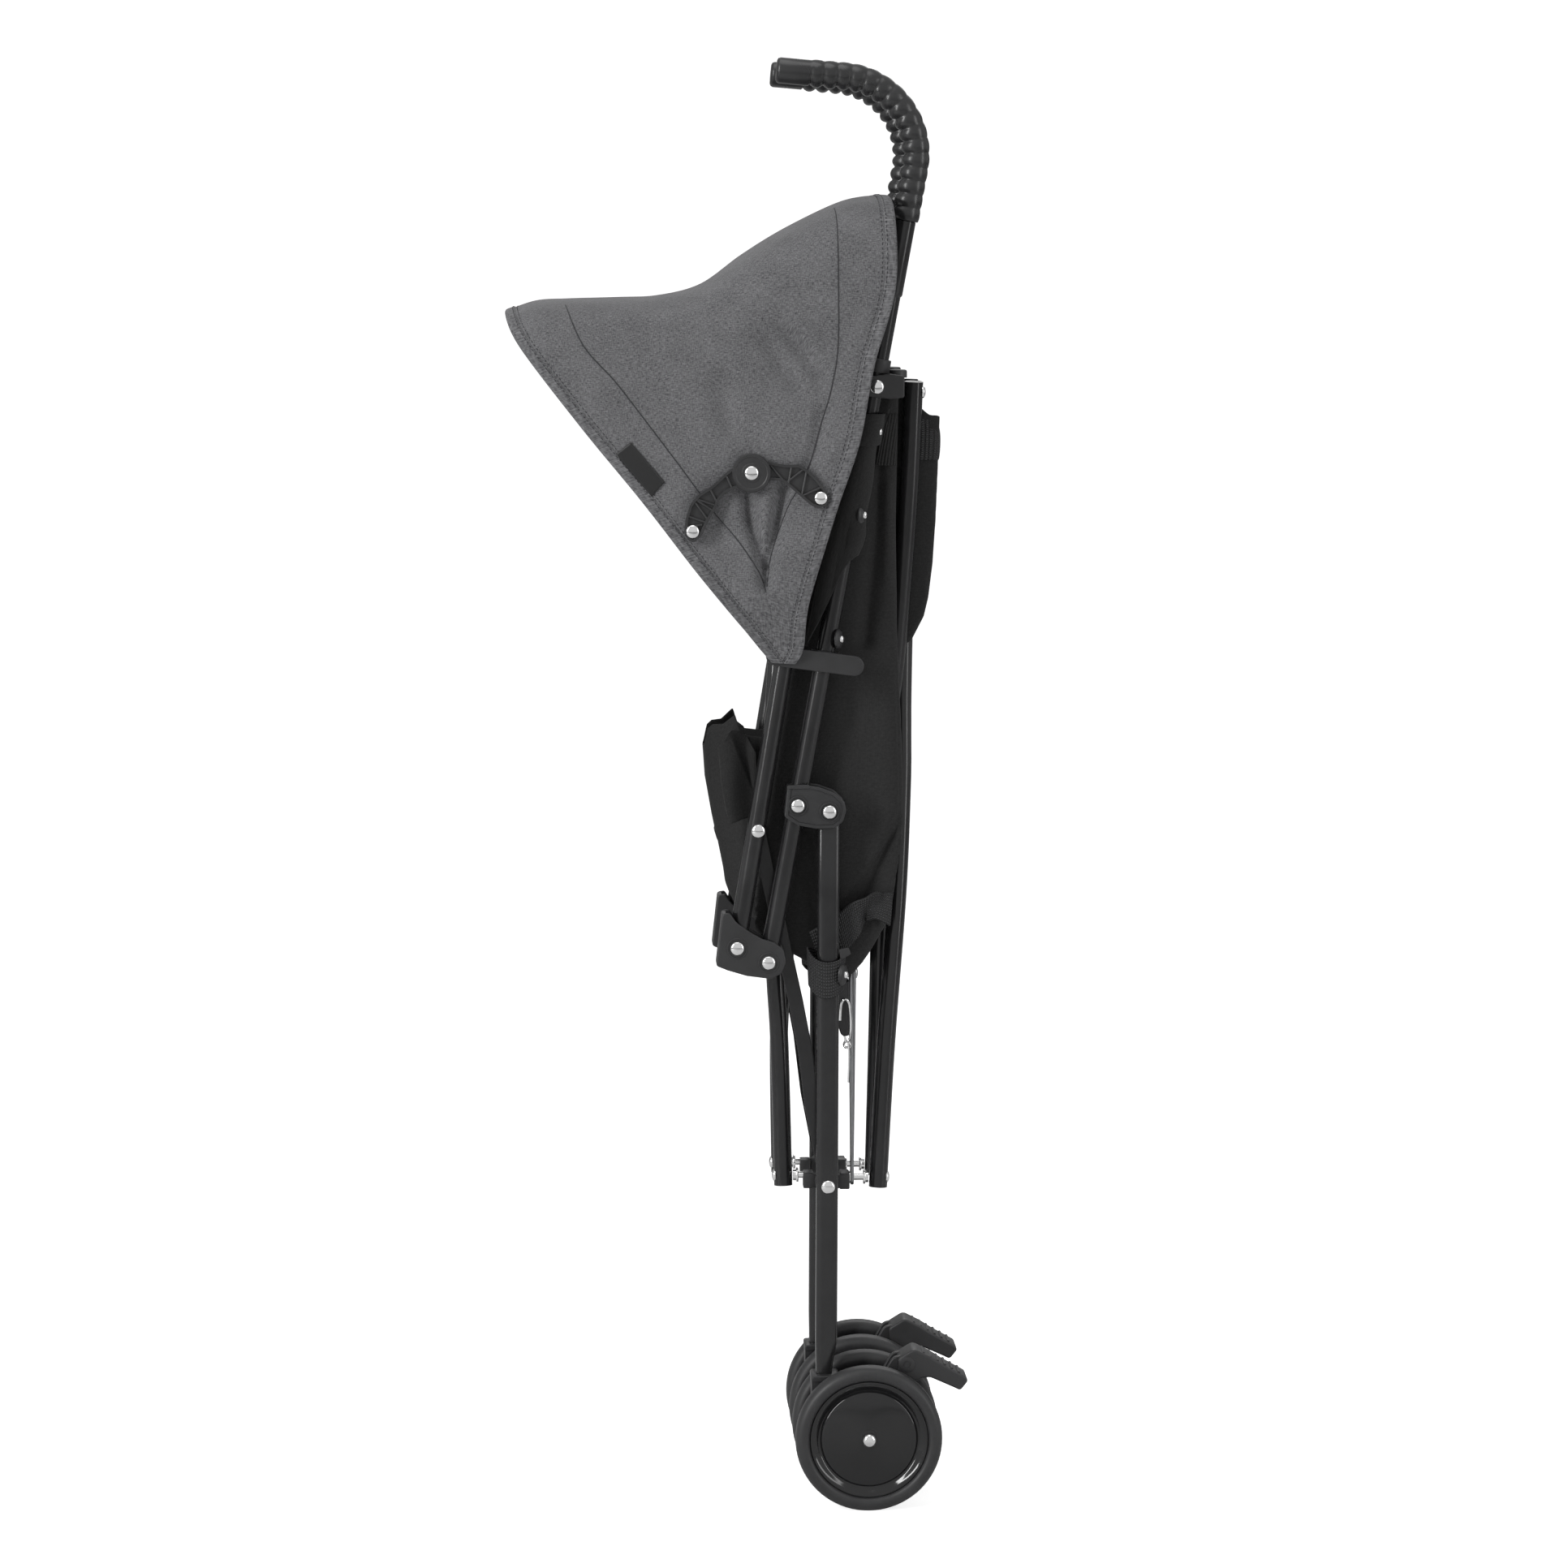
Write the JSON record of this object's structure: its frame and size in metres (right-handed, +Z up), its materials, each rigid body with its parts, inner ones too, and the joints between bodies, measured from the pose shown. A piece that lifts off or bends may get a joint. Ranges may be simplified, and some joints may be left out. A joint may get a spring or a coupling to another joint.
{
  "type": "folding stroller",
  "caption": "Lightweight umbrella stroller folded upright: cane handles, crossed tubes, twin wheels, foot brakes, cloth seat and canopy.",
  "frame": {"origin": "middle of the footprint of the folded stroller, on the floor", "axes": "+X towards the rear of the stroller, +Y towards its right side, +Z up along the folded frame"},
  "size_m": [0.3444, 0.2178, 1.0856],
  "materials": {
    "frame": "black powder coat on steel tube",
    "plastic": "black moulded nylon",
    "grip": "black beaded foam",
    "tyre": "black wheel and tyre",
    "steel": "bright steel",
    "canopy": "heather grey woven cloth",
    "cloth": "black polyester cloth"
  },
  "bodies": {
    "left_push": {"left_push_tube": "frame", "left_handle_grip": "grip", "left_pivot_bracket": "plastic", "left_canopy_clip": "plastic", "left_canopy": "canopy", "left_front_canopy_strut": "plastic", "left_rear_canopy_strut": "plastic", "left_front_canopy_bow": "steel", "left_rear_canopy_bow": "steel", "left_seat_half": "cloth"},
    "left_rear_leg": {"left_rear_leg": "frame", "left_axle_housing": "plastic"},
    "left_front_leg": {"left_front_leg": "frame", "left_knee_bracket": "plastic", "left_calf_half": "cloth"},
    "left_caster": {"left_caster_housing": "plastic"},
    "left_brake": {"left_brake_lever": "plastic"},
    "left_link": {"left_side_link": "frame"},
    "left_rear_hub_clevis_body": {"left_rear_hub_clevis": "plastic"},
    "left_front_hub_clevis_body": {"left_front_hub_clevis": "plastic"},
    "left_top_clevis_body": {"left_top_clevis": "plastic"},
    "left_front_clevis_body": {"left_front_clevis": "plastic"},
    "left_rear_cross": {"left_rear_cross_tube": "frame"},
    "left_front_cross": {"left_front_cross_tube": "frame"},
    "left_lock": {"left_lock_bar": "steel", "lock_pedal": "plastic"},
    "left_rear_wheel_outer_body": {"left_rear_wheel_outer": "tyre"},
    "left_rear_wheel_inner_body": {"left_rear_wheel_inner": "tyre"},
    "left_front_wheel_outer_body": {"left_front_wheel_outer": "tyre"},
    "left_front_wheel_inner_body": {"left_front_wheel_inner": "tyre"},
    "right_push": {"right_push_tube": "frame", "right_handle_grip": "grip", "right_pivot_bracket": "plastic", "right_canopy_clip": "plastic", "right_canopy": "canopy", "right_front_canopy_strut": "plastic", "right_rear_canopy_strut": "plastic", "right_front_canopy_bow": "steel", "right_rear_canopy_bow": "steel", "right_seat_half": "cloth"},
    "right_rear_leg": {"right_rear_leg": "frame", "right_axle_housing": "plastic"},
    "right_front_leg": {"right_front_leg": "frame", "right_knee_bracket": "plastic", "right_calf_half": "cloth"},
    "right_caster": {"right_caster_housing": "plastic"},
    "right_brake": {"right_brake_lever": "plastic"},
    "right_link": {"right_side_link": "frame"},
    "right_rear_hub_clevis_body": {"right_rear_hub_clevis": "plastic"},
    "right_front_hub_clevis_body": {"right_front_hub_clevis": "plastic"},
    "right_top_clevis_body": {"right_top_clevis": "plastic"},
    "right_front_clevis_body": {"right_front_clevis": "plastic"},
    "right_rear_cross": {"right_rear_cross_tube": "frame"},
    "right_front_cross": {"right_front_cross_tube": "frame"},
    "right_lock": {"right_lock_bar": "steel"},
    "right_rear_wheel_outer_body": {"right_rear_wheel_outer": "tyre"},
    "right_rear_wheel_inner_body": {"right_rear_wheel_inner": "tyre"},
    "right_front_wheel_outer_body": {"right_front_wheel_outer": "tyre"},
    "right_front_wheel_inner_body": {"right_front_wheel_inner": "tyre"}
  },
  "joints": [
    {"name": "fold", "type": "hinge", "parent": "left_push", "child": "left_rear_leg", "pos_m": [0.0668, -0.05, 0.529], "axis": [0, -1, 0], "range_deg": [0, 55], "deforming": ["left_seat_half", "right_seat_half", "left_calf_half", "right_calf_half"]},
    {"name": "width", "type": "slide", "parent": "left_push", "child": "right_push", "axis": [0, 1, 0], "range_m": [0, 0.2575]},
    {"name": "right_rear_leg_hinge", "type": "hinge", "parent": "right_push", "child": "right_rear_leg", "pos_m": [0.0668, 0.05, 0.529], "axis": [0, -1, 0], "range_deg": [0, 55.05]},
    {"name": "front_leg_hinge", "type": "hinge", "parent": "left_push", "child": "left_front_leg", "pos_m": [0.0213, -0.05, 0.4155], "axis": [0, -1, 0], "range_deg": [0, 179.94]},
    {"name": "front_width", "type": "slide", "parent": "left_front_leg", "child": "right_front_leg", "axis": [0, 1, 0], "range_m": [0, 0.2575]},
    {"name": "left_link_hinge", "type": "hinge", "parent": "left_rear_leg", "child": "left_link", "pos_m": [0.0663, -0.05, 0.2435], "axis": [0, -1, 0], "range_deg": [0, 34.17]},
    {"name": "left_rear_hub_hinge", "type": "hinge", "parent": "left_rear_leg", "child": "left_rear_hub_clevis_body", "pos_m": [0.0663, -0.05, 0.2435], "axis": [0, -1, 0], "range_deg": [-28.67, 0]},
    {"name": "left_front_hub_hinge", "type": "hinge", "parent": "left_rear_leg", "child": "left_front_hub_clevis_body", "pos_m": [0.0663, -0.05, 0.2435], "axis": [0, -1, 0], "range_deg": [0, 79.25]},
    {"name": "left_top_clevis_hinge", "type": "hinge", "parent": "left_push", "child": "left_top_clevis_body", "pos_m": [0.1015, -0.05, 0.845], "axis": [0, -1, 0], "range_deg": [0, 26.43]},
    {"name": "left_front_clevis_hinge", "type": "hinge", "parent": "left_front_leg", "child": "left_front_clevis_body", "pos_m": [0.0571, -0.05, 0.7859], "axis": [0, -1, 0], "range_deg": [-45.75, 0]},
    {"name": "left_rear_cross_hinge", "type": "hinge", "parent": "left_top_clevis_body", "child": "left_rear_cross", "pos_m": [0.1313, -0.025, 0.84], "axis": [1, 0, 0], "range_deg": [0, 26.21]},
    {"name": "left_front_cross_hinge", "type": "hinge", "parent": "left_front_hub_clevis_body", "child": "left_front_cross", "pos_m": [0.0338, -0.025, 0.247], "axis": [-1, 0, 0], "range_deg": [0, 29.33]},
    {"name": "left_lock_hinge", "type": "hinge", "parent": "left_rear_hub_clevis_body", "child": "left_lock", "pos_m": [0.0868, -0.025, 0.245], "axis": [-1, 0, 0], "range_deg": [0, 73.01]},
    {"name": "left_rear_wheel_outer_spin", "type": "hinge", "parent": "left_rear_leg", "child": "left_rear_wheel_outer_body", "pos_m": [0.0961, -0.0755, 0.05482], "axis": [0, 1, 0], "continuous": true},
    {"name": "left_front_wheel_outer_spin", "type": "hinge", "parent": "left_caster", "child": "left_front_wheel_outer_body", "pos_m": [0.03524, -0.0755, 0.86222], "axis": [0, 1, 0], "continuous": true},
    {"name": "left_rear_wheel_inner_spin", "type": "hinge", "parent": "left_rear_leg", "child": "left_rear_wheel_inner_body", "pos_m": [0.0961, -0.0245, 0.05482], "axis": [0, 1, 0], "continuous": true},
    {"name": "left_front_wheel_inner_spin", "type": "hinge", "parent": "left_caster", "child": "left_front_wheel_inner_body", "pos_m": [0.03524, -0.0245, 0.86222], "axis": [0, 1, 0], "continuous": true},
    {"name": "left_swivel", "type": "hinge", "parent": "left_front_leg", "child": "left_caster", "pos_m": [0.0652, -0.05, 0.83498], "axis": [0.1628, 0, 0.9867], "range_deg": [-7, 7]},
    {"name": "left_brake_press", "type": "hinge", "parent": "left_rear_leg", "child": "left_brake", "pos_m": [0.1093, -0.05, 0.082], "axis": [0, 1, 0], "range_deg": [0, 18]},
    {"name": "right_link_hinge", "type": "hinge", "parent": "right_rear_leg", "child": "right_link", "pos_m": [0.0663, 0.05, 0.2435], "axis": [0, -1, 0], "range_deg": [0, 34.17]},
    {"name": "right_rear_hub_hinge", "type": "hinge", "parent": "right_rear_leg", "child": "right_rear_hub_clevis_body", "pos_m": [0.0663, 0.05, 0.2435], "axis": [0, -1, 0], "range_deg": [-28.67, 0]},
    {"name": "right_front_hub_hinge", "type": "hinge", "parent": "right_rear_leg", "child": "right_front_hub_clevis_body", "pos_m": [0.0663, 0.05, 0.2435], "axis": [0, -1, 0], "range_deg": [0, 79.25]},
    {"name": "right_top_clevis_hinge", "type": "hinge", "parent": "right_push", "child": "right_top_clevis_body", "pos_m": [0.1015, 0.05, 0.845], "axis": [0, -1, 0], "range_deg": [0, 26.43]},
    {"name": "right_front_clevis_hinge", "type": "hinge", "parent": "right_front_leg", "child": "right_front_clevis_body", "pos_m": [0.0571, 0.05, 0.7859], "axis": [0, -1, 0], "range_deg": [-45.75, 0]},
    {"name": "right_rear_cross_hinge", "type": "hinge", "parent": "right_top_clevis_body", "child": "right_rear_cross", "pos_m": [0.1313, 0.025, 0.84], "axis": [-1, 0, 0], "range_deg": [0, 26.21]},
    {"name": "right_front_cross_hinge", "type": "hinge", "parent": "right_front_hub_clevis_body", "child": "right_front_cross", "pos_m": [0.0338, 0.025, 0.247], "axis": [1, 0, 0], "range_deg": [0, 29.33]},
    {"name": "right_lock_hinge", "type": "hinge", "parent": "right_rear_hub_clevis_body", "child": "right_lock", "pos_m": [0.0868, 0.025, 0.245], "axis": [1, 0, 0], "range_deg": [0, 73.01]},
    {"name": "right_rear_wheel_outer_spin", "type": "hinge", "parent": "right_rear_leg", "child": "right_rear_wheel_outer_body", "pos_m": [0.0961, 0.0755, 0.05482], "axis": [0, 1, 0], "continuous": true},
    {"name": "right_front_wheel_outer_spin", "type": "hinge", "parent": "right_caster", "child": "right_front_wheel_outer_body", "pos_m": [0.03524, 0.0755, 0.86222], "axis": [0, 1, 0], "continuous": true},
    {"name": "right_rear_wheel_inner_spin", "type": "hinge", "parent": "right_rear_leg", "child": "right_rear_wheel_inner_body", "pos_m": [0.0961, 0.0245, 0.05482], "axis": [0, 1, 0], "continuous": true},
    {"name": "right_front_wheel_inner_spin", "type": "hinge", "parent": "right_caster", "child": "right_front_wheel_inner_body", "pos_m": [0.03524, 0.0245, 0.86222], "axis": [0, 1, 0], "continuous": true},
    {"name": "right_swivel", "type": "hinge", "parent": "right_front_leg", "child": "right_caster", "pos_m": [0.0652, 0.05, 0.83498], "axis": [0.1628, 0, 0.9867], "range_deg": [-7, 7]},
    {"name": "right_brake_press", "type": "hinge", "parent": "right_rear_leg", "child": "right_brake", "pos_m": [0.1093, 0.05, 0.082], "axis": [0, 1, 0], "range_deg": [0, 18]}
  ],
  "couplings": [
    {"joint": "width", "follows": "fold", "m_per_rad": 0.26789},
    {"joint": "right_rear_leg_hinge", "follows": "fold", "ratio": 1},
    {"joint": "front_leg_hinge", "follows": "fold", "ratio": 3.2707},
    {"joint": "front_width", "follows": "fold", "m_per_rad": 0.26789},
    {"joint": "left_link_hinge", "follows": "fold", "ratio": 0.62044},
    {"joint": "left_rear_hub_hinge", "follows": "fold", "ratio": -0.52033},
    {"joint": "left_front_hub_hinge", "follows": "fold", "ratio": 1.4399},
    {"joint": "left_top_clevis_hinge", "follows": "fold", "ratio": 0.47967},
    {"joint": "left_front_clevis_hinge", "follows": "fold", "ratio": -0.83082},
    {"joint": "left_rear_cross_hinge", "follows": "fold", "ratio": 0.47556},
    {"joint": "left_front_cross_hinge", "follows": "fold", "ratio": 0.53233},
    {"joint": "left_lock_hinge", "follows": "fold", "ratio": 1.3265},
    {"joint": "right_link_hinge", "follows": "fold", "ratio": 0.62044},
    {"joint": "right_rear_hub_hinge", "follows": "fold", "ratio": -0.52033},
    {"joint": "right_front_hub_hinge", "follows": "fold", "ratio": 1.4399},
    {"joint": "right_top_clevis_hinge", "follows": "fold", "ratio": 0.47967},
    {"joint": "right_front_clevis_hinge", "follows": "fold", "ratio": -0.83082},
    {"joint": "right_rear_cross_hinge", "follows": "fold", "ratio": 0.47556},
    {"joint": "right_front_cross_hinge", "follows": "fold", "ratio": 0.53233},
    {"joint": "right_lock_hinge", "follows": "fold", "ratio": 1.3265}
  ]
}
